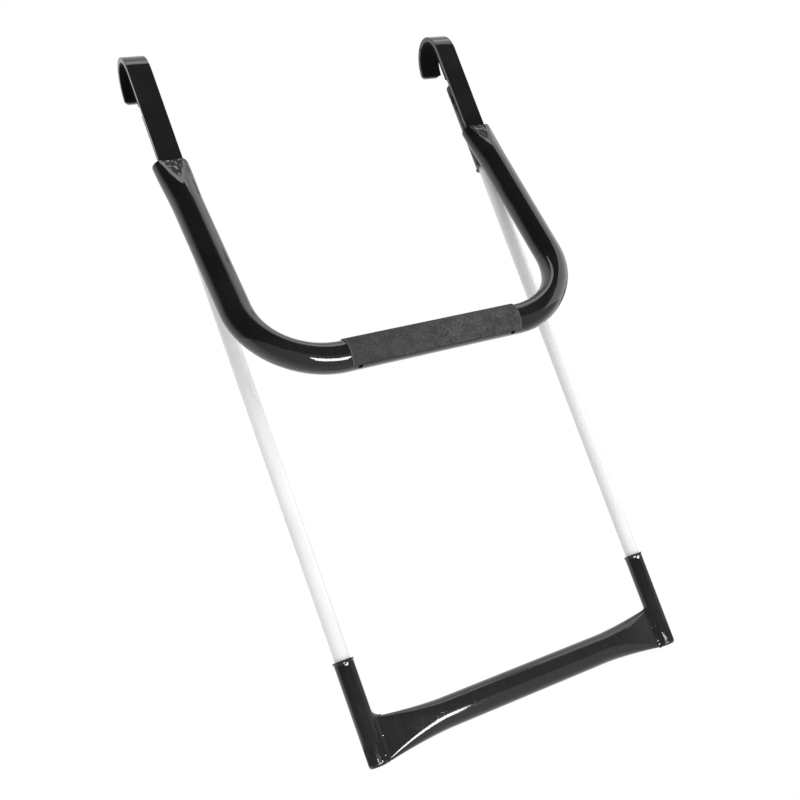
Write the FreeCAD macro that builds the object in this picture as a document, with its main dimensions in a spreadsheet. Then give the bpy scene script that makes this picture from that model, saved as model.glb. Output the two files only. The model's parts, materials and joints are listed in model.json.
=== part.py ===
import FreeCAD, Part
import Sketcher
import math
import os

# Two-step hook-over pool ladder.  Millimetres, +Z up, the climber stands on the -Y side.
# The origin is the centre of the rail the hooks hang on, midway between the two hooks.

SIZES = [
    ("grip_radius", 19.5, "inside radius of the hook liner, for a 38.1 mm rail"),
    ("liner_thick", 2.0, "liner strip thickness"),
    ("liner_drop", 29.0, "lower end of the liner below the rail centre"),
    ("bar_thick", 4.5, "hook flat bar thickness"),
    ("bar_width", 19.0, "hook flat bar width"),
    ("bar_drop", 112.0, "lower end of the hook bar below the rail centre"),
    ("hook_open", 14.0, "degrees above horizontal where the hook arc ends"),
    ("hook_flare", 4.8, "straight lead-in after the arc"),
    ("tip_round", 4.0, "corner radius of the hook tip"),
    ("bar_edge", 0.6, "rounded long edges of the bar"),
    ("leg_spacing", 280.0, "distance between the two leg axes"),
    ("leg_outer", 12.7, "leg tube outside diameter"),
    ("leg_bore", 10.3, "leg tube inside diameter"),
    ("sleeve_outer", 15.9, "sleeve outside diameter"),
    ("sleeve_bore", 13.2, "sleeve inside diameter"),
    ("sleeve_length", 88.0, "sleeve with its end cap"),
    ("mouth_outer", 18.2, "outside diameter of the flared mouth"),
    ("mouth_depth", 3.5, "length of the flare"),
    ("upper_cap_drop", 31.5, "top of the upper sleeve cap below the rail centre"),
    ("foot_drop", 604.0, "bottom of the foot caps below the rail centre"),
    ("cap_head", 3.0, "end cap head height"),
    ("cap_round", 2.4, "end cap edge radius"),
    ("cap_spigot", 6.0, "end cap spigot length"),
    ("cap_spigot_bore", 8.0, "hollow in the end cap spigot"),
    ("step_outer", 25.4, "step tube outside diameter"),
    ("step_bore", 22.4, "step tube inside diameter"),
    ("upper_step_drop", 293.6, "upper step axis below the rail centre"),
    ("upper_step_reach", 68.6, "upper step axis in front of the legs"),
    ("upper_step_lean", 16.3, "lean of the U tube from vertical, degrees"),
    ("upper_step_rise", 209.2, "height of the U tube's open ends above its cross tube"),
    ("upper_step_foot", 282.4, "distance between the U tube's legs at the cross tube"),
    ("upper_step_top", 282.2, "distance between the U tube's legs at the open ends"),
    ("upper_bend_radius", 63.6, "centre line radius of the two bends"),
    ("bend_squeeze", 1.3, "how much each bend is flattened, in its own plane, each side"),
    ("bend_swell", 0.9, "how much each bend swells out of its plane, each side"),
    ("mouth_width", 29.0, "width of the spread open end"),
    ("mouth_thick", 20.8, "front to back size of the spread open end"),
    ("mouth_blend", 50.0, "length over which the tube spreads to its open end"),
    ("dent_depth", 31.0, "length of the V dent down the front of each U tube end"),
    ("dent_half_width", 9.5, "half width of the V dent at the open end"),
    ("dent_fold", 2.0, "rounding of the two folds beside the dent"),
    ("drain_bore", 4.0, "drain hole under the upper step"),
    ("drain_spacing", 137.0, "distance between the two drain holes"),
    ("tape_length", 151.0, "grip tape length"),
    ("tape_width", 50.8, "grip tape width, laid round the tube"),
    ("tape_thick", 1.0, "grip tape thickness"),
    ("tape_front_edge", 148.0, "lower front edge of the tape, degrees forward of straight up"),
    ("lower_step_rise", 19.2, "lower step axis above the bottom of the foot caps"),
    ("squeeze_power", 1.6, "how suddenly the lower step's ends flatten"),
    ("round_half", 75.0, "half length of the lower step's round middle"),
    ("flat_half", 130.0, "half length where the lower step reaches its full flatness"),
    ("middle_height", 26.2, "height of the lower step's nearly round middle"),
    ("flat_height", 37.0, "height of the flattened ends of the lower step"),
    ("flat_tilt", 3.0, "lean of the flattened ends, degrees"),
    ("button_dia", 3.4, "spring button nose diameter"),
    ("button_hole", 3.5, "hole for the button in the leg and the sleeve"),
    ("button_depth", 3.7, "button centre inside the sleeve mouth"),
    ("button_proud", 1.3, "button nose outside the sleeve"),
    ("button_travel", 3.0, "travel of a button to clear the sleeve"),
    ("button_flange", 6.0, "button flange diameter"),
    ("button_flange_thick", 0.8, "button flange thickness"),
    ("spring_width", 4.0, "V spring strip width"),
    ("spring_thick", 0.5, "V spring strip thickness"),
    ("spring_length", 24.0, "V spring length along the leg"),
]

doc = FreeCAD.newDocument("pool_ladder")
V = FreeCAD.Vector
X_AXIS = V(1, 0, 0)
Y_AXIS = V(0, 1, 0)
Z_AXIS = V(0, 0, 1)
SIDES = (("left", -1), ("right", 1))

sheet = doc.addObject("Spreadsheet::Sheet", "Dims")
for row, (alias, value, note) in enumerate(SIZES, start=1):
    sheet.set("A%d" % row, note)
    sheet.set("B%d" % row, str(value))
    sheet.setAlias("B%d" % row, alias)
doc.recompute()


def size(alias):
    return float(sheet.get(alias))


def bind(item, **targets):
    """Tie properties to formulas over the sheet; a double underscore stands for a dot."""
    for prop, formula in targets.items():
        item.setExpression(prop.replace("__", "."), formula)


def place(item, x="0", y="0", z="0", axis=X_AXIS, angle=0):
    """Set the rotation once, and tie the position to the sheet."""
    item.Placement = FreeCAD.Placement(V(0, 0, 0), FreeCAD.Rotation(axis, angle))
    bind(item, Placement__Base__x=x, Placement__Base__y=y, Placement__Base__z=z)


# Formulas used more than once.
HOOK_R = "(Dims.grip_radius + Dims.liner_thick + Dims.bar_thick)"
LEG_Y = "(-Dims.grip_radius - Dims.liner_thick + Dims.sleeve_outer / 2)"
STEP_Y = "(%s - Dims.upper_step_reach)" % LEG_Y
RIM_Z = "(-Dims.upper_step_drop + Dims.upper_step_rise)"
RIM_Y = "(%s + Dims.upper_step_rise * tan(Dims.upper_step_lean * 1deg))" % STEP_Y
U_LENGTH = "(Dims.upper_step_rise / cos(Dims.upper_step_lean * 1deg))"


def leg_x(side):
    return "%d * Dims.leg_spacing / 2" % side


hook_r = size("grip_radius") + size("liner_thick") + size("bar_thick")
bar_back_y = -size("grip_radius") - size("liner_thick")
bar_front_y = -hook_r
leg_y = bar_back_y + size("sleeve_outer") / 2
half_spacing = size("leg_spacing") / 2
lean = math.radians(size("upper_step_lean"))
rim_z = -size("upper_step_drop") + size("upper_step_rise")
rim_y = leg_y - size("upper_step_reach") + size("upper_step_rise") * math.tan(lean)


# ---------------------------------------------------------------- sketch helpers

def new_body(label):
    item = doc.addObject("PartDesign::Body", label)
    item.Label = label
    return item


def sketch_on(item, role, name):
    sketch = item.newObject("Sketcher::SketchObject", name)
    plane = [f for f in item.Origin.OriginFeatures if f.Role == role][0]
    sketch.AttachmentSupport = (plane, [""])
    sketch.MapMode = "FlatFace"
    return sketch


def arc_through(start, middle, end):
    """Circular arc through three sketch points."""
    curve = Part.Arc(V(*start, 0), V(*middle, 0), V(*end, 0)).toShape().Curve
    centre = curve.Center

    def heading(point):
        return math.atan2(point[1] - centre.y, point[0] - centre.x)

    turn = 2 * math.pi
    first = heading(start)
    last = heading(end)
    if (heading(middle) - first) % turn > (last - first) % turn:
        first, last = last, first
    return Part.ArcOfCircle(Part.Circle(centre, Z_AXIS, curve.Radius), first, first + (last - first) % turn)


def outline(sketch, steps, closed=True):
    """Draw lines through (x, y) steps; a (middle, end) pair of points draws an arc."""
    here = steps[0]
    for step in steps[1:] + ([steps[0]] if closed else []):
        if isinstance(step[0], tuple):
            middle, end = step
            sketch.addGeometry(arc_through(here, middle, end))
        else:
            end = step
            sketch.addGeometry(Part.LineSegment(V(*here, 0), V(*end, 0)))
        here = end


def circle(sketch, radius_formula, x_formula="0", y_formula="0"):
    """Circle whose radius and centre follow the sheet."""
    index = sketch.addGeometry(Part.Circle(V(0, 0, 0), Z_AXIS, 1.0))
    named = (("Radius", 1.0, radius_formula), ("DistanceX", 0.0, x_formula), ("DistanceY", 0.0, y_formula))
    for kind, value, formula in named:
        if kind == "Radius":
            constraint = Sketcher.Constraint(kind, index, value)
        else:
            constraint = Sketcher.Constraint(kind, -1, 1, index, 3, value)
        number = sketch.addConstraint(constraint)
        sketch.setExpression("Constraints[%d]" % number, formula)


def on_arc(radius, degrees):
    """Point at an angle above the +Y direction, for the hook's side view."""
    angle = math.radians(degrees)
    return (radius * math.cos(angle), radius * math.sin(angle))


# ---------------------------------------------------------------- hooks

def hook_strip(outer, inner, low_z, tip_back):
    """Side outline of a strip that goes up the front, over the rail and down the back."""
    open_at = size("hook_open")
    lead = size("hook_flare") - tip_back
    down = (math.sin(math.radians(open_at)), -math.cos(math.radians(open_at)))

    def tip(radius):
        start = on_arc(radius, open_at)
        return (start[0] + lead * down[0], start[1] + lead * down[1])

    middle = (180 + open_at) / 2
    return [
        (-outer, low_z),
        (-outer, 0.0),
        (on_arc(outer, middle), on_arc(outer, open_at)),
        tip(outer),
        tip(inner),
        on_arc(inner, open_at),
        (on_arc(inner, middle), (-inner, 0.0)),
        (-inner, low_z),
    ]


def edges_where(shape, test):
    return ["Edge%d" % n for n, edge in enumerate(shape.Edges, start=1) if test(edge)]


def make_hook_bar(name, side):
    item = new_body(name + "_hook_bar")
    side_view = sketch_on(item, "YZ_Plane", name + "_hook_side")
    outline(side_view, hook_strip(hook_r, hook_r - size("bar_thick"), -size("bar_drop"), 0.0))
    pad = item.newObject("PartDesign::Pad", name + "_hook_pad")
    pad.Profile = side_view
    pad.SideType = "Symmetric"
    bind(pad, Length="Dims.bar_width")
    doc.recompute()

    def tip_corner(edge):
        box = edge.BoundBox
        short = edge.Length < size("bar_thick") + 0.01
        return short and box.YMin > 0 and box.XLength < 0.01

    tip = item.newObject("PartDesign::Fillet", name + "_hook_tip")
    tip.Base = (pad, edges_where(pad.Shape, tip_corner))
    bind(tip, Radius="Dims.tip_round")
    doc.recompute()

    def long_edge(edge):
        box = edge.BoundBox
        on_side = abs(abs(box.XMin) - size("bar_width") / 2) < 0.01 and box.XLength < 0.01
        return on_side and edge.Length > size("bar_thick") + 0.01

    edges = item.newObject("PartDesign::Fillet", name + "_hook_edges")
    edges.Base = (tip, edges_where(tip.Shape, long_edge))
    bind(edges, Radius="Dims.bar_edge")
    place(item, x=leg_x(side))


def make_hook_liner(name, side):
    item = new_body(name + "_hook_liner")
    side_view = sketch_on(item, "YZ_Plane", name + "_liner_side")
    outer = size("grip_radius") + size("liner_thick")
    outline(side_view, hook_strip(outer, size("grip_radius"), -size("liner_drop"), 1.0))
    pad = item.newObject("PartDesign::Pad", name + "_liner_pad")
    pad.Profile = side_view
    pad.SideType = "Symmetric"
    bind(pad, Length="Dims.bar_width")
    doc.recompute()

    def inner_end(edge):
        box = edge.BoundBox
        across = box.XLength > size("bar_width") / 2
        low_front = across and abs(box.ZMin + size("liner_drop")) < 0.01 and box.YMin > bar_back_y + 1
        centre = edge.CenterOfMass
        tip_side = across and centre.y > 0 and math.hypot(centre.y, centre.z) < outer - 0.5
        return low_front or (tip_side and centre.z < 5)

    rounded = item.newObject("PartDesign::Fillet", name + "_liner_ends")
    rounded.Base = (pad, edges_where(pad.Shape, inner_end))
    bind(rounded, Radius="Dims.liner_thick * 0.7")
    place(item, x=leg_x(side))


# ---------------------------------------------------------------- sleeves, caps and legs

def make_sleeve(label, side, upper):
    """Tube with a flared mouth and a button hole; its closed end is at local z = 0."""
    item = new_body(label)
    outer = size("sleeve_outer") / 2
    bore = size("sleeve_bore") / 2
    top = size("sleeve_length")
    start = top - size("mouth_depth")
    flare = size("mouth_outer") / 2 - outer
    middle = start + 0.55 * size("mouth_depth")
    section = sketch_on(item, "XZ_Plane", label + "_section")
    outline(section, [
        (bore, size("cap_head")),
        (outer, size("cap_head")),
        (outer, start),
        ((outer + 0.28 * flare, middle), (outer + flare, top)),
        (bore + flare, top),
        ((bore + 0.28 * flare, middle), (bore, start)),
    ])
    tube = item.newObject("PartDesign::Revolution", label + "_tube")
    tube.Profile = section
    tube.ReferenceAxis = (section, ["V_Axis"])
    tube.Angle = 360

    hole_view = sketch_on(item, "XZ_Plane", label + "_hole_view")
    circle(hole_view, "Dims.button_hole / 2", "0", "Dims.sleeve_length - Dims.button_depth")
    hole = item.newObject("PartDesign::Pocket", label + "_hole")
    hole.Profile = hole_view
    hole.Reversed = True
    bind(hole, Length="Dims.mouth_outer")
    height = "-Dims.upper_cap_drop" if upper else "-Dims.foot_drop"
    place(item, x=leg_x(side), y=LEG_Y, z=height, angle=180 if upper else 0)


def make_cap(label, side, upper):
    """Rounded plug that closes the end of a sleeve."""
    item = new_body(label)
    outer = size("sleeve_outer") / 2
    spigot = size("sleeve_bore") / 2
    hollow = size("cap_spigot_bore") / 2
    head = size("cap_head")
    depth = head + size("cap_spigot")
    rounding = size("cap_round")
    inset = rounding * (1 - math.sqrt(0.5))
    section = sketch_on(item, "XZ_Plane", label + "_section")
    outline(section, [
        (0.0, 0.0),
        (outer - rounding, 0.0),
        ((outer - inset, inset), (outer, rounding)),
        (outer, head),
        (spigot, head),
        (spigot, depth),
        (hollow, depth),
        (hollow, head),
        (0.0, head),
    ])
    turned = item.newObject("PartDesign::Revolution", label + "_turned")
    turned.Profile = section
    turned.ReferenceAxis = (section, ["V_Axis"])
    turned.Angle = 360
    height = "-Dims.upper_cap_drop" if upper else "-Dims.foot_drop"
    place(item, x=leg_x(side), y=LEG_Y, z=height, angle=180 if upper else 0)


def make_leg(name, side):
    """Straight tube from the foot cap to the upper cap, with one button hole at each end."""
    label = name + "_leg_tube"
    item = new_body(label)
    ring = sketch_on(item, "XY_Plane", label + "_ring")
    circle(ring, "Dims.leg_outer / 2")
    circle(ring, "Dims.leg_bore / 2")
    tube = item.newObject("PartDesign::Pad", label + "_pad")
    tube.Profile = ring
    bind(tube, Length="Dims.foot_drop - Dims.upper_cap_drop - 2 * Dims.cap_head - 2 * Dims.cap_spigot")

    from_end = "Dims.sleeve_length - Dims.button_depth - Dims.cap_head - Dims.cap_spigot"
    length = "(Dims.foot_drop - Dims.upper_cap_drop - 2 * Dims.cap_head - 2 * Dims.cap_spigot)"
    places = (("low", from_end, True), ("high", "%s - (%s)" % (length, from_end), False))
    for end, height, toward_front in places:
        view = sketch_on(item, "XZ_Plane", "%s_%s_view" % (label, end))
        circle(view, "Dims.button_hole / 2", "0", height)
        hole = item.newObject("PartDesign::Pocket", "%s_%s_hole" % (label, end))
        hole.Profile = view
        hole.Reversed = toward_front
        bind(hole, Length="Dims.leg_outer")
    place(item, x=leg_x(side), y=LEG_Y, z="-Dims.foot_drop + Dims.cap_head + Dims.cap_spigot")


# ---------------------------------------------------------------- spring buttons

def make_button(label, side, upper):
    """Domed pin with a flange that stops on the inside of the leg; it points to local -Y."""
    item = new_body(label)
    nose = size("button_dia") / 2
    reach = size("sleeve_outer") / 2 + size("button_proud")
    flange = size("button_flange") / 2
    seat = math.sqrt((size("leg_bore") / 2) ** 2 - flange ** 2)
    back = seat - size("button_flange_thick")
    dome = 1.2
    section = sketch_on(item, "XY_Plane", label + "_section")
    outline(section, [
        (0.0, -reach),
        ((nose * 0.72, -reach + dome * 0.32), (nose, -reach + dome)),
        (nose, -seat),
        (flange, -seat),
        (flange, -back),
        (0.0, -back),
    ])
    turned = item.newObject("PartDesign::Revolution", label + "_turned")
    turned.Profile = section
    turned.ReferenceAxis = (section, ["V_Axis"])
    turned.Angle = 360
    rise = "Dims.sleeve_length - Dims.button_depth"
    if upper:
        place(item, x=leg_x(side), y=LEG_Y, z="-Dims.upper_cap_drop - (%s)" % rise, angle=180)
    else:
        place(item, x=leg_x(side), y=LEG_Y, z="-Dims.foot_drop + %s" % rise)


def make_spring(label, side, upper):
    """V leaf spring inside the leg: one arm behind the button, the other on the far wall."""
    item = new_body(label)
    flange = size("button_flange") / 2
    bore = size("leg_bore") / 2
    thick = size("spring_thick")
    front = -math.sqrt(bore ** 2 - flange ** 2) + size("button_flange_thick")
    rear = math.sqrt(bore ** 2 - (size("spring_width") / 2) ** 2) - 0.1
    tail = -size("spring_length") + flange
    bend = (rear - front) / 4
    side_view = sketch_on(item, "YZ_Plane", label + "_side")
    outline(side_view, [
        (front, flange),
        (front, -flange),
        (front + bend, tail + bend),
        ((rear - bend, tail - bend), (rear, tail + bend)),
        (rear, flange),
        (rear - thick, flange),
        (rear - thick, tail + bend),
        ((rear - bend, tail - bend + thick), (front + bend + thick, tail + bend)),
        (front + thick, -flange),
        (front + thick, flange),
    ])
    pad = item.newObject("PartDesign::Pad", label + "_pad")
    pad.Profile = side_view
    pad.SideType = "Symmetric"
    bind(pad, Length="Dims.spring_width")
    rise = "Dims.sleeve_length - Dims.button_depth"
    if upper:
        place(item, x=leg_x(side), y=LEG_Y, z="-Dims.upper_cap_drop - (%s)" % rise, angle=180)
    else:
        place(item, x=leg_x(side), y=LEG_Y, z="-Dims.foot_drop + %s" % rise)


# ---------------------------------------------------------------- upper step

def upper_path():
    """Straight and bent stretches of the left half of the U tube, in the plane of the U.

    Local z = 0 is the plane of the open ends.  Each point is (place, inward, bend share)."""
    depth = size("upper_step_rise") / math.cos(lean)
    foot = size("upper_step_foot") / 2
    top = V(-size("upper_step_top") / 2, 0, 0)
    bend = size("upper_bend_radius")
    splay = math.atan((foot + top.x) / depth)
    turn = math.pi / 2 + splay
    down = V(-math.sin(splay), 0, -math.cos(splay))
    inward = V(math.cos(splay), 0, -math.sin(splay))
    corner = V(-foot, 0, -depth)
    bend_start = corner - down * (bend * math.tan(turn / 2))
    centre = bend_start + inward * bend

    def on_leg(distance):
        return top + down * distance, inward, 0.0

    def on_bend(share):
        spin = FreeCAD.Rotation(Y_AXIS, -math.degrees(turn * share))
        ray = spin.multVec(-inward)
        return centre + ray * bend, -ray, math.sin(math.pi * share) ** 2

    return on_leg, on_bend, (bend_start - top).Length, depth


def oval(centre, across, half_across, half_deep):
    """Closed oval made of four equal quarter curves."""
    quarters = []
    u = across * half_across
    v = Y_AXIS * half_deep
    for start, stop in ((v, u), (u, -v), (-v, -u), (-u, v)):
        quarter = Part.BezierCurve()
        quarter.setPoles([centre + start, centre + start + stop, centre + stop])
        quarter.setWeight(2, math.sqrt(0.5))
        quarters.append(quarter.toShape())
    return Part.Wire(quarters)


def hollow_loft(stations):
    """Tube through (place, across, half width, half depth) stations, with the tube's own wall."""
    wall = (size("step_outer") - size("step_bore")) / 2
    skins = []
    for inset in (0.0, wall):
        wires = [oval(p, u, wide - inset, deep - inset) for p, u, wide, deep in stations]
        skins.append(Part.makeLoft(wires, True, False))
    return skins[0].cut(skins[1])


def straight_tube(start, end):
    run = end - start
    outer = Part.makeCylinder(size("step_outer") / 2, run.Length, start, run)
    return outer.cut(Part.makeCylinder(size("step_bore") / 2, run.Length, start, run))


def smooth(share):
    return share * share * (3 - 2 * share)


def mouth_stations():
    """The end of the U tube, spread to an oval so that it reaches round the hook bar."""
    radius = size("step_outer") / 2
    wider = size("mouth_width") / 2 - radius
    thinner = radius - size("mouth_thick") / 2
    on_leg = upper_path()[0]
    stations = []
    for n in range(6):
        place_at, inward, flat = on_leg(size("mouth_blend") * n / 5)
        spread = smooth(1 - n / 5)
        stations.append((place_at, inward, radius + wider * spread, radius - thinner * spread))
    return stations


def mouth_core(side):
    """Solid with the outside shape of one tube end."""
    core = Part.makeLoft([oval(*station) for station in mouth_stations()], True, False)
    return core if side < 0 else core.mirror(V(0, 0, 0), X_AXIS)


def upper_half():
    """Left half of the U tube: spread mouth, leg, squeezed bend and half the cross tube."""
    radius = size("step_outer") / 2
    on_leg, on_bend, leg_length, depth = upper_path()
    mouth = mouth_stations()
    bend = []
    for n in range(9):
        place_at, inward, flat = on_bend(n / 8)
        half_wide = radius - size("bend_squeeze") * flat
        bend.append((place_at, inward, half_wide, radius + size("bend_swell") * flat))
    leg = straight_tube(mouth[-1][0], bend[0][0])
    cross = straight_tube(bend[-1][0], V(0, 0, -depth))
    return hollow_loft(mouth).fuse([leg, hollow_loft(bend), cross])


def make_upper_pipe():
    """The bent tube before its ends are closed; local z = 0 is the plane of the open ends."""
    left = shape_object("upper_pipe_left", upper_half())
    right = doc.addObject("Part::Mirroring", "upper_pipe_right")
    right.Source = left
    right.Normal = X_AXIS
    pipe = doc.addObject("Part::MultiFuse", "upper_pipe_bent")
    pipe.Shapes = [left, right]
    drains = []
    for name, side in SIDES:
        drain = doc.addObject("Part::Cylinder", name + "_drain")
        bind(drain, Radius="Dims.drain_bore / 2", Height="Dims.step_outer")
        place(drain, x="%d * Dims.drain_spacing / 2" % side, z="-%s - Dims.step_outer" % U_LENGTH)
        drains.append(drain)
    both = doc.addObject("Part::MultiFuse", "upper_pipe_drains")
    both.Shapes = drains
    item = doc.addObject("Part::Cut", "upper_pipe")
    item.Base = pipe
    item.Tool = both
    place(item, y=RIM_Y, z=RIM_Z, angle=-size("upper_step_lean"))
    return item


def tube_point(side, across, forward, down):
    """World point in a U tube end: across and forward from its axis, down from its open end."""
    on_leg = upper_path()[0]
    centre = on_leg(down)[0]
    local = V(-side * centre.x + across, -forward, centre.z)
    turn = FreeCAD.Rotation(X_AXIS, -size("upper_step_lean"))
    return V(0, rim_y, rim_z) + turn.multVec(local)


def dent_solids(side):
    """The V dent in a tube end: the hollow pressed in, and the wall that lines it."""
    radius = size("step_outer") / 2
    wall = (size("step_outer") - size("step_bore")) / 2
    half_width = size("dent_half_width")
    rim_half = size("mouth_thick") / 2
    forward = rim_half * math.sqrt(1 - (half_width / (size("mouth_width") / 2)) ** 2)
    spread = smooth(1 - size("dent_depth") / size("mouth_blend"))
    apex = tube_point(side, 0, radius + (rim_half - radius) * spread, size("dent_depth"))
    rim_left = tube_point(side, -half_width, forward, 0)
    rim_right = tube_point(side, half_width, forward, 0)
    floor_rise = (bar_front_y - wall - rim_y) * math.tan(lean)
    floor = V(side * size("upper_step_top") / 2, bar_front_y - wall, rim_z - floor_rise)
    along = (floor - apex).normalize()
    arms = []
    for corner in (rim_left, rim_right):
        arm = corner - floor
        arm = (arm - along * arm.dot(along)).normalize()
        arms.append(arm)
    split = (arms[0] + arms[1]).normalize()
    sharp = math.acos(max(-1.0, min(1.0, arms[0].dot(split))))
    start = apex - along * 12
    reach = 24.0
    back = start - split * (wall / math.sin(sharp))
    run = along * ((floor - apex).Length + 30)

    hollow = Part.Face(Part.makePolygon([
        start,
        start + arms[0] * reach,
        start + (arms[0] + split) * reach,
        start + (arms[1] + split) * reach,
        start + arms[1] * reach,
        start,
    ]))
    lining = Part.Face(Part.makePolygon([
        start,
        start + arms[0] * reach,
        back + arms[0] * reach,
        back,
        back + arms[1] * reach,
        start + arms[1] * reach,
        start,
    ]))
    return hollow.extrude(run), lining.extrude(run)


def shape_object(name, shape):
    item = doc.addObject("Part::Feature", name)
    item.Shape = shape
    return item


def fold_edges(shape):
    """The outer edges beside the two dents: where a flat facet meets the curved tube."""
    found = []
    for number, edge in enumerate(shape.Edges, start=1):
        kinds = sorted(type(face.Surface).__name__ for face in shape.ancestorsOfType(edge, Part.Face))
        forward = -edge.CenterOfMass.y
        long_enough = edge.Length > size("dent_depth")
        if kinds == ["BSplineSurface", "Plane"] and long_enough and forward > hook_r:
            found.append((forward, number))
    return [number for forward, number in sorted(found)[-4:]]


def make_upper_step():
    pipe = make_upper_pipe()
    added = [pipe]
    removed = []
    for name, side in SIDES:
        hollow, lining = dent_solids(side)
        end_core = shape_object(name + "_end_core", mouth_core(side))
        place(end_core, y=RIM_Y, z=RIM_Z, angle=-size("upper_step_lean"))
        lining_item = shape_object(name + "_dent_lining", lining)
        fitted = doc.addObject("Part::MultiCommon", name + "_dent_wall")
        fitted.Shapes = [end_core, lining_item]
        added.append(fitted)
        removed.append(shape_object(name + "_dent_hollow", hollow))

        bar = doc.addObject("Part::Box", name + "_bar_room")
        bind(bar, Length="Dims.bar_width", Width="Dims.bar_thick", Height="Dims.bar_drop")
        place(bar, x="%s - Dims.bar_width / 2" % leg_x(side), y="-" + HOOK_R, z="-Dims.bar_drop")
        removed.append(bar)

        sleeve = doc.addObject("Part::Cylinder", name + "_sleeve_room")
        bind(sleeve, Radius="Dims.sleeve_outer / 2", Height="Dims.sleeve_length")
        sleeve_low = "-Dims.upper_cap_drop - Dims.sleeve_length"
        place(sleeve, x=leg_x(side), y=LEG_Y, z=sleeve_low)
        removed.append(sleeve)

        mouth = doc.addObject("Part::Cylinder", name + "_mouth_room")
        bind(mouth, Radius="Dims.mouth_outer / 2", Height="Dims.mouth_depth")
        place(mouth, x=leg_x(side), y=LEG_Y, z=sleeve_low)
        removed.append(mouth)

        leg = doc.addObject("Part::Cylinder", name + "_leg_room")
        bind(leg, Radius="Dims.leg_outer / 2", Height="Dims.sleeve_length")
        place(leg, x=leg_x(side), y=LEG_Y, z=sleeve_low + " - Dims.sleeve_length / 2")
        removed.append(leg)

    joined = doc.addObject("Part::MultiFuse", "upper_step_joined")
    joined.Shapes = added
    joined.Refine = True
    rooms = doc.addObject("Part::MultiFuse", "upper_step_rooms")
    rooms.Shapes = removed
    cut = doc.addObject("Part::Cut", "upper_step_cut")
    cut.Base = joined
    cut.Tool = rooms
    doc.recompute()
    rounding = size("dent_fold")
    item = doc.addObject("Part::Fillet", "upper_step_tube")
    item.Base = cut
    item.Edges = [(number, rounding, rounding) for number in fold_edges(cut.Shape)]
    item.Label = "upper_step_tube"


def make_tape():
    """Strip of grip tape laid over the top and front of the upper step."""
    item = new_body("step_grip_tape")
    inner = size("step_outer") / 2
    outer = inner + size("tape_thick")
    front = size("tape_front_edge")
    spread = math.degrees(size("tape_width") / inner)
    angles = (front, front - spread / 2, front - spread)

    def around(radius, forward_angle):
        angle = math.radians(forward_angle)
        return (-radius * math.sin(angle), radius * math.cos(angle))

    section = sketch_on(item, "YZ_Plane", "tape_section")
    outline(section, [
        around(outer, angles[0]),
        (around(outer, angles[1]), around(outer, angles[2])),
        around(inner, angles[2]),
        (around(inner, angles[1]), around(inner, angles[0])),
    ])
    pad = item.newObject("PartDesign::Pad", "tape_pad")
    pad.Profile = section
    pad.SideType = "Symmetric"
    bind(pad, Length="Dims.tape_length")
    place(item, y=STEP_Y, z="-Dims.upper_step_drop")


# ---------------------------------------------------------------- lower step

def flattened_section(x, height, inset, tilt):
    """Outline of the squeezed tube at x; the wall's length round the tube never changes."""
    full = size("step_outer")
    thick = full - (height - full) / (math.pi / 2 - 1)
    radius = thick / 2 - inset
    straight = (height - thick) / 2
    top = Part.Arc(V(x, radius, straight), V(x, 0, straight + radius), V(x, -radius, straight))
    low = Part.Arc(V(x, -radius, -straight), V(x, 0, -straight - radius), V(x, radius, -straight))
    front = Part.LineSegment(V(x, -radius, straight), V(x, -radius, -straight))
    back = Part.LineSegment(V(x, radius, -straight), V(x, radius, straight))
    section = Part.Wire([curve.toShape() for curve in (top, front, low, back)])
    section.rotate(V(x, 0, 0), X_AXIS, -tilt)
    return section


def make_lower_step():
    """Round tube whose ends are squeezed flat and cut to the sleeves."""
    full = size("step_outer")
    wall = (full - size("step_bore")) / 2
    near = size("round_half")
    far = size("flat_half")
    growth = size("flat_height") - size("middle_height")
    stations = 13
    solids = {}
    for inset in (0.0, wall):
        sections = []
        for n in range(stations + 1):
            share = n / stations
            x = near + (half_spacing - near) * share
            squeeze = min(1.0, (x - near) / (far - near)) ** size("squeeze_power")
            height = size("middle_height") + growth * squeeze
            sections.append(flattened_section(x, height, inset, size("flat_tilt") * squeeze))
        right_end = Part.makeLoft(sections, True, False)
        left_end = right_end.mirror(V(0, 0, 0), X_AXIS)
        middle = Part.Face(sections[0]).extrude(V(-2 * near, 0, 0))
        solids[inset] = middle.fuse([right_end, left_end])
    blank = shape_object("lower_step_blank", solids[0.0].cut(solids[wall]))
    place(blank, y=LEG_Y, z="-Dims.foot_drop + Dims.lower_step_rise")

    rooms = []
    for name, side in SIDES:
        room = doc.addObject("Part::Cylinder", name + "_foot_room")
        bind(room, Radius="Dims.sleeve_outer / 2", Height="Dims.sleeve_length")
        place(room, x=leg_x(side), y=LEG_Y, z="-Dims.foot_drop")
        rooms.append(room)
    both = doc.addObject("Part::MultiFuse", "lower_step_rooms")
    both.Shapes = rooms
    item = doc.addObject("Part::Cut", "lower_step_tube")
    item.Base = blank
    item.Tool = both
    item.Label = "lower_step_tube"


# ---------------------------------------------------------------- assembly

for side_name, side_sign in SIDES:
    make_hook_bar(side_name, side_sign)
    make_hook_liner(side_name, side_sign)
    make_leg(side_name, side_sign)
    for is_upper, level, cap_level in ((True, "_upper", "_upper_cap"), (False, "_lower", "_foot_cap")):
        make_sleeve(side_name + level + "_sleeve", side_sign, is_upper)
        make_cap(side_name + cap_level, side_sign, is_upper)
        make_button(side_name + level + "_button", side_sign, is_upper)
        make_spring(side_name + level + "_spring", side_sign, is_upper)
make_upper_step()
make_tape()
make_lower_step()
doc.recompute()

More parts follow.
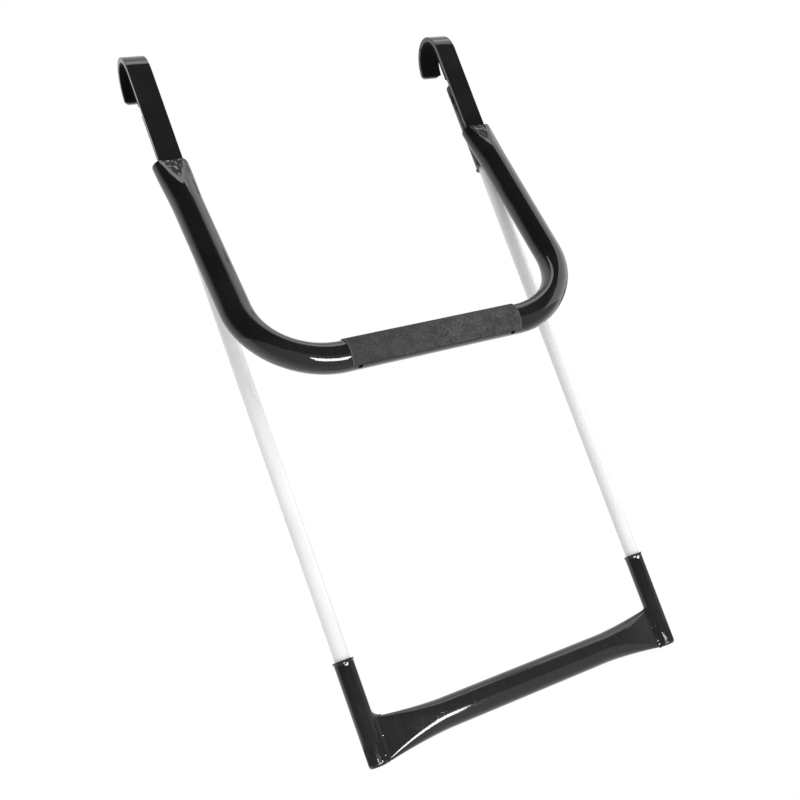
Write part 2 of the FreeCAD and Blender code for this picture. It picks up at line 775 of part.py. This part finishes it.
NODES = ["upper_step_tube", "step_grip_tape", "lower_step_tube"]
for side_name, side_sign in SIDES:
    for piece in ("hook_bar", "hook_liner", "upper_sleeve", "upper_cap", "upper_button", "upper_spring",
                  "leg_tube", "lower_sleeve", "foot_cap", "lower_button", "lower_spring"):
        NODES.append(side_name + "_" + piece)

for entry in doc.Objects:
    if "Invalid" in entry.State or "Error" in entry.State:
        raise RuntimeError("%s did not build: %s" % (entry.Name, entry.State))

os.makedirs("parts", exist_ok=True)
for node in NODES:
    found = [o for o in doc.Objects if o.Label == node]
    shape = found[0].Shape
    if shape.isNull() or not shape.isValid():
        raise RuntimeError(node + " has no valid shape")
    if len(shape.Solids) != 1:
        raise RuntimeError("%s has %d solids" % (node, len(shape.Solids)))
    shape.exportStep("parts/%s.step" % node)
    print("%-22s %9.1f mm3" % (node, shape.Volume))
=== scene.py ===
import json
import math
import bpy
from mathutils import Matrix, Vector


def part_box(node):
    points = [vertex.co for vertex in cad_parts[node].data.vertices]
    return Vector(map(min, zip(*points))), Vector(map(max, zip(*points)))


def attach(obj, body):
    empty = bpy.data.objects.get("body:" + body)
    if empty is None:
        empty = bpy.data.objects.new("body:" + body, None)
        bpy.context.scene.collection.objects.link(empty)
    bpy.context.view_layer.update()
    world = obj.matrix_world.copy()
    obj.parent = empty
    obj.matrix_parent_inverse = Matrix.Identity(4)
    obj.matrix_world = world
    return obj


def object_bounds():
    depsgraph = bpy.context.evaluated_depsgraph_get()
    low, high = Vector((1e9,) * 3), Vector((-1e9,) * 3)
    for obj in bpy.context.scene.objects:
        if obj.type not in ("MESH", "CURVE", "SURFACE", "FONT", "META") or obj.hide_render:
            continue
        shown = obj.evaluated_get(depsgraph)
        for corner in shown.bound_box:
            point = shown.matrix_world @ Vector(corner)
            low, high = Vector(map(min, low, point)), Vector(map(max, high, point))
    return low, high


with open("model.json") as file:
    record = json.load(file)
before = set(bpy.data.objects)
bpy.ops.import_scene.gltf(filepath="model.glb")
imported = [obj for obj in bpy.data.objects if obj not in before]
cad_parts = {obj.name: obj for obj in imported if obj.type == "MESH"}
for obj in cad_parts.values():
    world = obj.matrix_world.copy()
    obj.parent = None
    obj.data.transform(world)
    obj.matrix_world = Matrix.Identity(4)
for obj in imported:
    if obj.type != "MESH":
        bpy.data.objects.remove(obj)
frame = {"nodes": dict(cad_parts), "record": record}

# Two-step pool ladder.  Metres; the origin is the centre of the rail, midway between the hooks, +Z is up
# and the climber stands on the -Y side.


def write_size():
    """Update the view layer before and after the visual pieces are added."""
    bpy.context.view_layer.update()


write_size()


# ---------------------------------------------------------------- places

leg_low, leg_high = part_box("right_leg_tube")
LEG_X = (leg_low.x + leg_high.x) / 2
LEG_Y = (leg_low.y + leg_high.y) / 2
FOOT_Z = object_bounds()[0].z
TAPE_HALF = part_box("step_grip_tape")[1].x
SIDES = (("left", -1), ("right", 1))

SLEEVE_R = 0.00795
UPPER_STEP_Z = -0.2936

# Upper tube: a point on the axis of its straight legs, their lean, and the oval mouth at their top.
UPPER_LEG_Y = -0.04965
UPPER_LEG_Z = -0.18246
UPPER_LEAN = math.radians(16.3)
MOUTH_TOP = -0.0844
MOUTH_HALF_WIDTH = 0.0145
MOUTH_HALF_THICK = 0.0104
MOUTH_NARROWING = -0.036
MOUTH_THICKENING = 0.040
DENT_HALF_WIDTH = 0.0098
DENT_LOWEST = -0.122

# Flattened ends of the lower step.
STEP_RISE = 0.0192
FLAT_HALF_HEIGHT = 0.0185
FLAT_HALF_THICK = 0.0025
FLAT_TILT = math.radians(3.0)


# ---------------------------------------------------------------- material building blocks

class Nodes:
    """Short way to add and link shader nodes of one material."""

    def __init__(self, tree):
        self.tree = tree
        self.tree.nodes.clear()

    def add(self, kind, inputs=None, **settings):
        node = self.tree.nodes.new(kind)
        for key, value in settings.items():
            setattr(node, key, value)
        for key, value in (inputs or {}).items():
            self.feed(node, key, value)
        return node

    def feed(self, node, key, value):
        if isinstance(value, bpy.types.NodeSocket):
            self.tree.links.new(value, node.inputs[key])
        else:
            node.inputs[key].default_value = value

    def maths(self, operation, first, second=0.0, third=0.0):
        inputs = {0: first, 1: second, 2: third}
        return self.add("ShaderNodeMath", inputs, operation=operation).outputs[0]

    def times(self, first, second):
        return self.maths("MULTIPLY", first, second)

    def minus(self, first, second):
        return self.maths("SUBTRACT", first, second)

    def noise(self, vector, scale, detail=3.0, rough=0.55):
        inputs = {"Vector": vector, "Scale": scale, "Detail": detail, "Roughness": rough}
        return self.add("ShaderNodeTexNoise", inputs).outputs["Fac"]

    def span(self, value, low, high, to_low=0.0, to_high=1.0):
        """Value from low to high turned into to_low to to_high, held at both ends."""
        inputs = {0: value, 1: low, 2: high, 3: to_low, 4: to_high}
        return self.add("ShaderNodeMapRange", inputs).outputs[0]

    def stretch(self, vector, scale):
        inputs = {"Vector": vector, "Scale": scale}
        return self.add("ShaderNodeMapping", inputs).outputs["Vector"]

    def split(self, vector):
        return self.add("ShaderNodeSeparateXYZ", {0: vector}).outputs

    def mix(self, share, first, second):
        node = self.add("ShaderNodeMix", data_type="RGBA")
        self.feed(node, 0, share)
        self.feed(node, 6, first)
        self.feed(node, 7, second)
        return node.outputs[2]

    def bump(self, height, distance, strength=1.0, normal=None):
        inputs = {"Height": height, "Distance": distance, "Strength": strength}
        if normal is not None:
            inputs["Normal"] = normal
        return self.add("ShaderNodeBump", inputs).outputs["Normal"]

    def output(self, kind, shader):
        out = self.add(kind)
        self.tree.links.new(shader.outputs[0], out.inputs["Surface"])

    def finish(self, **inputs):
        shader = self.add("ShaderNodeBsdfPrincipled")
        for key, value in inputs.items():
            self.feed(shader, key.replace("_", " "), value)
        self.output("ShaderNodeOutputMaterial", shader)


def new_material(name):
    material = bpy.data.materials.new(name)
    material.use_nodes = True
    build = Nodes(material.node_tree)
    place = build.add("ShaderNodeTexCoord").outputs["Object"]
    return material, build, place


def grey(value):
    return (value, value, value * 1.01, 1.0)


def from_leg(build, x):
    """Sideways distance from the nearer leg's axis."""
    return build.maths("ABSOLUTE", build.minus(build.maths("ABSOLUTE", x), LEG_X))


# ---------------------------------------------------------------- coated metal

SKIN_DEPTH = 0.0003
FULL_DEPTH = 0.0009
FRONT_FACE = 0.002


def dent_zone(build, x, y, z):
    """1 inside the pressed hollow in the front of each upper mouth, 0 elsewhere."""
    across = from_leg(build, x)
    below = build.minus(MOUTH_TOP, z)
    half_width = build.maths("MULTIPLY_ADD", below, MOUTH_NARROWING, MOUTH_HALF_WIDTH)
    half_thick = build.maths("MULTIPLY_ADD", below, MOUTH_THICKENING, MOUTH_HALF_THICK)
    share = build.maths("DIVIDE", across, half_width)
    left_over = build.maths("MAXIMUM", build.minus(1.0, build.times(share, share)), 0.0)
    rim = build.times(build.maths("SQRT", left_over), half_thick)
    ahead = build.times(build.minus(UPPER_LEG_Y, y), math.cos(UPPER_LEAN))
    lift = build.times(build.minus(z, UPPER_LEG_Z), math.sin(UPPER_LEAN))
    depth = build.maths("ADD", ahead, lift)
    hollow = build.span(build.minus(rim, depth), SKIN_DEPTH, FULL_DEPTH)
    front = build.maths("LESS_THAN", FRONT_FACE, depth)
    middle = build.maths("LESS_THAN", across, DENT_HALF_WIDTH)
    high = build.maths("LESS_THAN", DENT_LOWEST, z)
    return build.times(build.times(hollow, high), build.times(front, middle))


SCUFF_HALF_WIDTH = 0.0084
SCUFF_START = 0.024
SCUFF_FULL = 0.016


def foot_zone(build, x, z):
    """1 on the last stretch of each lower sleeve, where the coat is scuffed dull."""
    near = build.maths("LESS_THAN", from_leg(build, x), SCUFF_HALF_WIDTH)
    return build.times(near, build.span(z, FOOT_Z + SCUFF_START, FOOT_Z + SCUFF_FULL))


def haze_zone(build, z, smudge):
    """Dull haze: full near the feet, fainter at the height of the upper step, patchy everywhere."""
    near_feet = build.span(z, FOOT_Z + 0.13, FOOT_Z + 0.04)
    near_step = build.span(z, UPPER_STEP_Z + 0.03, UPPER_STEP_Z, 0.0, 0.4)
    above = build.maths("LESS_THAN", UPPER_STEP_Z - 0.05, z)
    both = build.maths("MAXIMUM", near_feet, build.times(near_step, above))
    return build.times(both, build.span(smudge, 0.3, 0.7, 0.7, 1.0))


FULL_SHINE = 0.5


def coat_shine(build, place, x, y, z):
    """Shine of the coat: broken into streaks in the dents, dull with a few glints at the feet."""
    crease = build.noise(build.stretch(place, (210.0, 210.0, 45.0)), scale=2.2, detail=2.0)
    glint = build.span(crease, 0.54, 0.62, 0.05, 0.75)
    change = build.minus(glint, FULL_SHINE)
    shine = build.maths("MULTIPLY_ADD", dent_zone(build, x, y, z), change, FULL_SHINE)
    scuffed = build.times(foot_zone(build, x, z), build.span(crease, 0.60, 0.66, 0.95, 0.2))
    return build.times(shine, build.minus(1.0, scuffed))


def coated_metal(name, dark, light, smooth, dull, streak, haze=0.0):
    """Glossy coat: slow tone changes, smudges, lengthwise rubs, orange peel, and the zones above."""
    material, build, place = new_material(name)
    x, y, z = build.split(place)
    cloud = build.noise(place, scale=22.0, detail=4.0)
    smudge = build.noise(place, scale=55.0, detail=5.0, rough=0.65)
    rub = build.noise(build.stretch(place, (260.0, 260.0, 9.0)), scale=3.0)
    rubs = build.span(rub, 0.55, 0.70)
    dusty = haze_zone(build, z, smudge)
    tone = build.mix(build.span(cloud, 0.35, 0.65), grey(dark), grey(light))
    tone = build.mix(dusty, tone, grey(light + haze))
    rub_share = build.times(rubs, build.span(dusty, 0.0, 1.0, 0.12, 0.5))
    tone = build.mix(rub_share, tone, grey(streak))
    rough = build.span(smudge, 0.35, 0.72, smooth, dull)
    rough = build.maths("ADD", rough, build.times(rubs, 0.05))
    peel = build.noise(place, scale=420.0, detail=2.0)
    ripple = build.noise(place, scale=60.0, detail=2.0)
    normal = build.bump(peel, distance=0.00002, strength=0.5)
    normal = build.bump(ripple, distance=0.00006, strength=0.5, normal=normal)
    shine = coat_shine(build, place, x, y, z)
    build.finish(Base_Color=tone, Roughness=rough, IOR=1.5, Specular_IOR_Level=shine, Normal=normal)
    return material


# ---------------------------------------------------------------- the other finishes

def rubber(name):
    """Matte liner with a fine pitted skin and lighter rubbed patches."""
    material, build, place = new_material(name)
    pits = build.noise(place, scale=1400.0)
    patch = build.noise(place, scale=45.0, detail=4.0)
    tone = build.mix(build.span(patch, 0.4, 0.75), grey(0.0012), grey(0.0035))
    rough = build.span(patch, 0.3, 0.7, 0.7, 0.9)
    normal = build.bump(pits, distance=0.00012, strength=0.6)
    build.finish(Base_Color=tone, Roughness=rough, IOR=1.18, Normal=normal)
    return material


def grit(name):
    """Anti-slip tape: coarse grains, patchy tone, darker to the left, lighter along its cut ends."""
    material, build, place = new_material(name)
    grain = build.add("ShaderNodeTexVoronoi", {"Vector": place, "Scale": 900.0})
    speck = build.span(grain.outputs["Distance"], 0.15, 0.75, 1.0, 0.0)
    patch = build.noise(place, scale=420.0, rough=0.7)
    broad = build.noise(place, scale=45.0)
    trodden = build.noise(place, scale=110.0, detail=2.0)
    across = build.split(place)[0]
    from_middle = build.maths("ABSOLUTE", across)
    cut_end = build.span(from_middle, TAPE_HALF - 0.0014, TAPE_HALF - 0.0006, 0.0, 0.3)
    tone = build.mix(build.span(patch, 0.40, 0.60), grey(0.016), grey(0.085))
    tone = build.mix(build.span(broad, 0.35, 0.7, 0.0, 0.5), tone, grey(0.080))
    tone = build.mix(build.span(trodden, 0.45, 0.62, 0.0, 0.6), tone, grey(0.024))
    tone = build.mix(build.times(speck, 0.25), tone, grey(0.018))
    tone = build.mix(build.span(across, -TAPE_HALF, 0.01, 0.6, 0.0), tone, grey(0.022))
    tone = build.mix(cut_end, tone, grey(0.19))
    rough = build.span(patch, 0.3, 0.7, 0.75, 0.95)
    normal = build.bump(speck, distance=0.0003, strength=0.8)
    normal = build.bump(patch, distance=0.0003, strength=0.5, normal=normal)
    build.finish(Base_Color=tone, Roughness=rough, IOR=1.4, Normal=normal)
    return material


def plastic(name):
    """Satin moulded plastic with a fine sparked texture."""
    material, build, place = new_material(name)
    spark = build.noise(place, scale=2200.0, detail=2.0)
    patch = build.noise(place, scale=120.0, detail=4.0)
    tone = build.mix(build.span(patch, 0.35, 0.7), grey(0.012), grey(0.028))
    rough = build.span(patch, 0.3, 0.7, 0.25, 0.42)
    normal = build.bump(spark, distance=0.00005, strength=0.5)
    build.finish(Base_Color=tone, Roughness=rough, IOR=1.48, Normal=normal)
    return material


def bright_steel(name, dark, light, smooth, dull, brushed):
    """Plated or brushed steel with fine lines and slight tarnish."""
    material, build, place = new_material(name)
    lines = build.noise(build.stretch(place, brushed), scale=8.0)
    tarnish = build.noise(place, scale=260.0, detail=4.0)
    tone = build.mix(build.span(tarnish, 0.4, 0.75), grey(light), grey(dark))
    rough = build.span(lines, 0.3, 0.7, smooth, dull)
    normal = build.bump(lines, distance=0.00002, strength=0.4)
    build.finish(Base_Color=tone, Metallic=1.0, Roughness=rough, Normal=normal)
    return material


FINISH = {
    "black_gloss_coat": coated_metal("finish_black_gloss", dark=0.0055, light=0.0085,
                                     smooth=0.03, dull=0.07, streak=0.04, haze=0.016),
    "black_hook_coat": coated_metal("finish_black_hook", dark=0.0085, light=0.0125,
                                    smooth=0.06, dull=0.12, streak=0.02),
    "white_coat": coated_metal("finish_white", dark=0.84, light=0.88,
                               smooth=0.08, dull=0.16, streak=0.80),
    "liner": rubber("finish_liner"),
    "grip_tape": grit("finish_grip_tape"),
    "cap_plastic": plastic("finish_cap"),
    "button_steel": bright_steel("finish_button", dark=0.75, light=0.95,
                                 smooth=0.08, dull=0.18, brushed=(900.0, 40.0, 900.0)),
    "spring_steel": bright_steel("finish_spring", dark=0.35, light=0.55,
                                 smooth=0.2, dull=0.35, brushed=(900.0, 900.0, 30.0)),
}

for entry in frame["record"]["subparts"]:
    node = frame["nodes"][entry["node"]]
    node.data.materials.clear()
    node.data.materials.append(FINISH[entry["material_slot"]])


# ---------------------------------------------------------------- weld beads on the hooks

def add_piece(name, verts, faces, slot_name, body="ladder"):
    mesh = bpy.data.meshes.new(name)
    mesh.from_pydata([tuple(v) for v in verts], [], faces)
    mesh.update()
    for polygon in mesh.polygons:
        polygon.use_smooth = True
    item = bpy.data.objects.new(name, mesh)
    bpy.context.scene.collection.objects.link(item)
    mesh.materials.append(FINISH[slot_name])
    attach(item, body)
    return item


def tube_faces(rows, ring):
    """Quads between neighbouring rings of points."""
    faces = []
    for n in range(rows - 1):
        for k in range(ring):
            a = n * ring + k
            b = n * ring + (k + 1) % ring
            faces.append((a, b, b + ring, a + ring))
    return faces


RIPPLE_PITCH = 0.0016
RIPPLE_POINTS = 4
RIPPLE_HEIGHT = 0.10
BEAD_UNEVEN = 0.05
BEAD_RING = 10


def weld_bead(name, start, end, radius):
    """Rippled straight bead: each ripple is one puddle of the weld, and the ends taper."""
    last = round((end - start).length * RIPPLE_POINTS / RIPPLE_PITCH)
    along = (end - start).normalized()
    side = along.orthogonal().normalized()
    other = along.cross(side)
    verts = []
    for n in range(last + 1):
        point = start.lerp(end, n / last)
        ripples_from_end = min(n, last - n) / RIPPLE_POINTS
        taper = min(1.0, 0.25 + ripples_from_end * 0.5)
        ripple = RIPPLE_HEIGHT * math.cos(2 * math.pi * n / RIPPLE_POINTS)
        uneven = BEAD_UNEVEN * math.sin(n * 0.37)
        swell = radius * taper * (1 + ripple + uneven)
        for k in range(BEAD_RING):
            angle = 2 * math.pi * k / BEAD_RING
            verts.append(point + side * (swell * math.cos(angle)) + other * (swell * math.sin(angle)))
    faces = tube_faces(last + 1, BEAD_RING)
    faces.append(tuple(reversed(range(BEAD_RING))))
    faces.append(tuple(range(last * BEAD_RING, (last + 1) * BEAD_RING)))
    return add_piece(name, verts, faces, "black_gloss_coat")


# One bead in each groove between the hook bar's back and the round sleeve behind it.
BAR_BACK = -0.0215
BEAD_SHIFT = 0.0046
BEAD_RADIUS = 0.0012
BEAD_TOP = -0.040
BEAD_LENGTH = 0.036

for side_name, side in SIDES:
    for tag, outward in (("outer", side), ("inner", -side)):
        groove_y = LEG_Y - math.sqrt(SLEEVE_R ** 2 - BEAD_SHIFT ** 2)
        groove_x = side * LEG_X + outward * BEAD_SHIFT
        top = Vector((groove_x, (groove_y + BAR_BACK) / 2, BEAD_TOP))
        bottom = top - Vector((0, 0, BEAD_LENGTH))
        weld_bead("%s_hook_weld_%s" % (side_name, tag), top, bottom, BEAD_RADIUS)


# ---------------------------------------------------------------- welds of the lower step

def rounded_end(angle, centre_z):
    out_y = math.cos(angle)
    out_z = math.sin(angle)
    return (out_y * FLAT_HALF_THICK, centre_z + out_z * FLAT_HALF_THICK, out_y, out_z)


def squeezed_outline(count):
    """Points round the flattened end of the lower step: (y, z, outward y, outward z)."""
    straight = FLAT_HALF_HEIGHT - FLAT_HALF_THICK
    arc = math.pi * FLAT_HALF_THICK
    total = 2 * arc + 4 * straight
    points = []
    for n in range(count):
        way = total * n / count
        if way < arc:
            points.append(rounded_end(way / FLAT_HALF_THICK, straight))
        elif way < arc + 2 * straight:
            points.append((-FLAT_HALF_THICK, straight - (way - arc), -1.0, 0.0))
        elif way < 2 * arc + 2 * straight:
            angle = math.pi + (way - arc - 2 * straight) / FLAT_HALF_THICK
            points.append(rounded_end(angle, -straight))
        else:
            points.append((FLAT_HALF_THICK, way - 2 * arc - 3 * straight, 1.0, 0.0))
    return points


def lean_back(y, z):
    """Turn a point or direction by the tilt of the flattened end."""
    cos = math.cos(FLAT_TILT)
    sin = math.sin(FLAT_TILT)
    return (y * cos + z * sin, z * cos - y * sin)


def on_sleeve(side, across, sink):
    """X on the sleeve's inner side, at a distance across its axis, sunk below its skin."""
    return side * (LEG_X - math.sqrt((SLEEVE_R - sink) ** 2 - across ** 2))


WELD_SIZE = 0.0026
TOP_EXTRA = {-1: 0.0036, 1: 0.0}
WELD_ROWS = 84
WELD_STEPS = 6
TOE_REACH = 1.2
HOLLOW = 0.35
EDGE_SINK = 0.0001
ROOT_SINK = 0.0006
ROOT_SINK_SIDEWAYS = 0.0004


def weld_size(n, side, out_z):
    """Height of the weld: uneven, tall on top of the left joint, small underneath."""
    uneven = 1 + 0.04 * math.sin(n * 0.9) + 0.03 * math.sin(n * 0.41)
    size = (WELD_SIZE + TOP_EXTRA[side] * max(0.0, out_z) ** 2) * uneven
    if out_z < -0.1:
        size *= 1 + 0.6 * out_z
    return size


def step_fillet(name, side):
    """Smooth weld all round the joint between the lower step and its sleeve."""
    rows = squeezed_outline(WELD_ROWS)
    verts = []
    for n, row in enumerate(rows):
        y, z = lean_back(*row[:2])
        out_y, out_z = lean_back(*row[2:])
        size = weld_size(n, side, out_z)
        root = Vector((on_sleeve(side, y, 0.0), LEG_Y + y, FOOT_Z + STEP_RISE + z))
        toe = root + Vector((-side * size * TOE_REACH, -out_y * EDGE_SINK, -out_z * EDGE_SINK))
        wall_y = y + out_y * size
        wall = Vector((on_sleeve(side, wall_y, EDGE_SINK), LEG_Y + wall_y, root.z + out_z * size))
        pull = root.lerp((toe + wall) / 2, HOLLOW)
        for k in range(WELD_STEPS):
            t = k / (WELD_STEPS - 1)
            verts.append(toe * (1 - t) ** 2 + pull * (2 * t * (1 - t)) + wall * t ** 2)
        verts.append(root + Vector((side * ROOT_SINK_SIDEWAYS, -out_y * ROOT_SINK, -out_z * ROOT_SINK)))
    ring = WELD_STEPS + 1
    faces = []
    for n in range(len(rows)):
        following = (n + 1) % len(rows)
        for k in range(ring):
            beside = (k + 1) % ring
            corners = [n * ring + k, n * ring + beside, following * ring + beside, following * ring + k]
            if side < 0:
                corners.reverse()
            faces.append(corners)
    return add_piece(name, verts, faces, "black_gloss_coat")


for side_name, side in SIDES:
    step_fillet(side_name + "_step_weld", side)


# ---------------------------------------------------------------- weld spatter at the left foot, coloured bright as painted highlights

SPECK_ROWS = 5
SPECK_RING = 9


def speck(name, centre, radius):
    """Small uneven blob of weld spatter, coloured bright steel as a painted highlight."""
    verts = []
    for r in range(SPECK_ROWS + 1):
        tilt = math.pi * r / SPECK_ROWS
        for k in range(SPECK_RING):
            angle = 2 * math.pi * k / SPECK_RING
            size = radius * (1 + 0.15 * math.sin(3 * angle + r))
            level = math.sin(tilt)
            ray = Vector((level * math.cos(angle), level * math.sin(angle), math.cos(tilt)))
            verts.append(centre + ray * size)
    return add_piece(name, verts, tube_faces(SPECK_ROWS + 1, SPECK_RING), "button_steel")


def sleeve_front(aside):
    """How far the sleeve's skin is in front of its axis, at a distance aside from it."""
    return math.sqrt(SLEEVE_R ** 2 - aside ** 2)


STEP_FACE = 0.0030
# Each speck: distance towards the middle from the leg's axis, height above the foot, radius, and how far
# its centre is in front of the leg's axis.
SPATTER_HIGHLIGHTS = (
    (0.0015, 0.0032, 0.0007, sleeve_front(0.0015)),
    (0.0056, 0.0066, 0.0006, sleeve_front(0.0056)),
    (0.0097, 0.0216, 0.00045, STEP_FACE),
)
# The specks are real weld spatter; their bright steel colour is a painted highlight.
for n, (aside, rise, radius, ahead) in enumerate(SPATTER_HIGHLIGHTS):
    speck("left_weld_speck_highlight_%d" % (n + 1), Vector((aside - LEG_X, LEG_Y - ahead, FOOT_Z + rise)), radius)


# ---------------------------------------------------------------- camera

CAMERA_AT = Vector((-0.3473, -0.8786 + LEG_Y, 0.0587 + FOOT_Z))
CAMERA_HEADING = math.radians(30.338)
CAMERA_CLIMB = math.radians(5.573)
CAMERA_ROLL = math.radians(-21.002)
LENS = 48.828
SHIFT_X = -0.28681
SHIFT_Y = 0.09604

camera_data = bpy.data.cameras.new("camera")
camera_data.sensor_width = 36
camera_data.lens = LENS
camera_data.clip_start = 0.01
camera = bpy.data.objects.new("camera", camera_data)
bpy.context.scene.collection.objects.link(camera)
facing = Matrix.Rotation(-CAMERA_HEADING, 4, "Z") @ Matrix.Rotation(math.pi / 2 + CAMERA_CLIMB, 4, "X")
camera.matrix_world = Matrix.Translation(CAMERA_AT) @ facing @ Matrix.Rotation(CAMERA_ROLL, 4, "Z")
bpy.context.scene.camera = camera
bpy.context.scene.view_settings.view_transform = "Standard"


def shift_only_here(path, value):
    """The lens shift belongs to this viewpoint: from any other place the lens is centred."""
    driver = camera_data.driver_add(path).driver
    driver.type = "SCRIPTED"
    place = driver.variables.new()
    place.name = "place"
    place.type = "TRANSFORMS"
    place.targets[0].id = camera
    place.targets[0].transform_type = "LOC_X"
    place.targets[0].transform_space = "WORLD_SPACE"
    driver.expression = "%.6f if abs(place - %.6f) < 0.00001 else 0.0" % (value, CAMERA_AT.x)


shift_only_here("shift_x", SHIFT_X)
shift_only_here("shift_y", SHIFT_Y)


# ---------------------------------------------------------------- studio

# Brightness of the studio walls by compass heading in degrees: 0 is behind the ladder, 90 its right.
WALL_STOPS = (
    (-180, 0.04), (-96, 0.04), (-86, 0.15), (-78, 0.5), (-66, 0.95), (-45, 1.1),
    (0, 1.0), (60, 1.0), (110, 1.0), (122, 1.0), (134, 0.1), (144, 0.04),
)
BRIGHTEST = 2.0


def wall_level(build, x, y):
    """Wall brightness in a direction, from WALL_STOPS."""
    heading = build.maths("ARCTAN2", x, y)
    ramp = build.add("ShaderNodeValToRGB", {0: build.span(heading, -math.pi, math.pi)})
    elements = ramp.color_ramp.elements
    while len(elements) > 1:
        elements.remove(elements[-1])
    for n, (degrees, level) in enumerate(WALL_STOPS):
        share = (degrees + 180) / 360
        stop = elements[0] if n == 0 else elements.new(share)
        stop.position = share
        stop.color = (level / BRIGHTEST, level / BRIGHTEST, level / BRIGHTEST, 1)
    return build.times(ramp.outputs[0], BRIGHTEST)


KEY_X = 0.34
KEY_Y = -0.94
KEY_POWER = 6.0
KEY_LEVEL = 2.2


def dome_level(build, x, y):
    """Soft light: an even dome, a little brighter in front, with a broad key from the front right."""
    dome = build.maths("MULTIPLY_ADD", x, 0.10, 0.54)
    dome = build.maths("MULTIPLY_ADD", y, -0.25, dome)
    towards_key = build.maths("MULTIPLY_ADD", y, KEY_Y, build.times(x, KEY_X))
    key = build.maths("POWER", build.maths("MAXIMUM", towards_key, 0.0), KEY_POWER)
    return build.maths("MULTIPLY_ADD", key, KEY_LEVEL, dome)


def build_world():
    """White to the camera, the dome for soft light, and walls with a dark front for reflections."""
    world = bpy.data.worlds.new("studio")
    world.use_nodes = True
    build = Nodes(world.node_tree)
    x, y, z = build.split(build.add("ShaderNodeTexCoord").outputs["Generated"])
    ceiling = build.span(z, 0.94, 0.97, 0.0, 0.5)
    wall = build.maths("MAXIMUM", wall_level(build, x, y), ceiling)
    low_right = build.times(build.span(x, 0.4, 0.75), build.span(z, 0.1, 0.35, 0.65, 0.0))
    wall = build.times(wall, build.minus(1.0, low_right))
    path = build.add("ShaderNodeLightPath")
    mirrored = path.outputs["Is Glossy Ray"]
    seen = path.outputs["Is Camera Ray"]
    soft = build.times(build.minus(1.0, mirrored), dome_level(build, x, y))
    level = build.maths("ADD", build.times(mirrored, wall), soft)
    level = build.maths("ADD", build.times(build.minus(1.0, seen), level), seen)
    background = build.add("ShaderNodeBackground", {"Color": (1, 1, 1, 1), "Strength": level})
    build.output("ShaderNodeOutputWorld", background)
    bpy.context.scene.world = world


def stage_sheet(name, corners, reflected_level, seen):
    """Flat glowing sheet of the studio: plain white to look at, another brightness in reflections."""
    mesh = bpy.data.meshes.new(name)
    mesh.from_pydata(corners, [], [(0, 1, 2, 3)])
    sheet = bpy.data.objects.new(name, mesh)
    bpy.context.scene.collection.objects.link(sheet)
    material, build, place = new_material(name)
    path = build.add("ShaderNodeLightPath")
    plain = build.maths("MAXIMUM", path.outputs["Is Camera Ray"], path.outputs["Is Diffuse Ray"])
    glow = build.times(build.minus(1.0, plain), reflected_level(build, place))
    glow = build.maths("ADD", glow, plain)
    light = build.add("ShaderNodeEmission", {"Color": (1, 1, 1, 1), "Strength": glow})
    build.output("ShaderNodeOutputMaterial", light)
    mesh.materials.append(material)
    sheet.visible_camera = seen
    sheet.visible_diffuse = seen
    sheet.visible_shadow = False


def floor_level(build, place):
    """The pale floor looks darker in front of the ladder than behind it."""
    return build.span(build.split(place)[1], -0.3, 1.2, 0.55, 1.3)


def even(level):
    """The same brightness all over a card."""
    return lambda build, place: level


def upright_card(start, end, low, high):
    """Corners of an upright rectangle between two (x, y) places."""
    return [(*start, low), (*end, low), (*end, high), (*start, high)]


FLOOR_Z = FOOT_Z - 1.0
REACH = 12.0
FLOOR_CORNERS = ((-REACH, -REACH), (REACH, -REACH), (REACH, REACH), (-REACH, REACH))
FLOOR = [(x, y, FLOOR_Z) for x, y in FLOOR_CORNERS]
TOP_CARD = [(-0.6, -0.455, 1.0), (1.3, -0.455, 1.0), (1.3, 0.15, 1.0), (-0.6, -0.3, 1.0)]
RIGHT_CARD = upright_card((0.49, -0.40), (0.95, 0.30), low=-0.42, high=1.2)
LOW_FRONT_LIGHT = upright_card((-0.33, -0.80), (0.20, -0.80), low=-0.93, high=-0.635)

build_world()
stage_sheet("floor", FLOOR, floor_level, seen=True)
stage_sheet("right_card", RIGHT_CARD, even(1.8), seen=False)
stage_sheet("top_card", TOP_CARD, even(2.8), seen=False)
stage_sheet("low_front_light", LOW_FRONT_LIGHT, even(25.0), seen=False)

write_size()
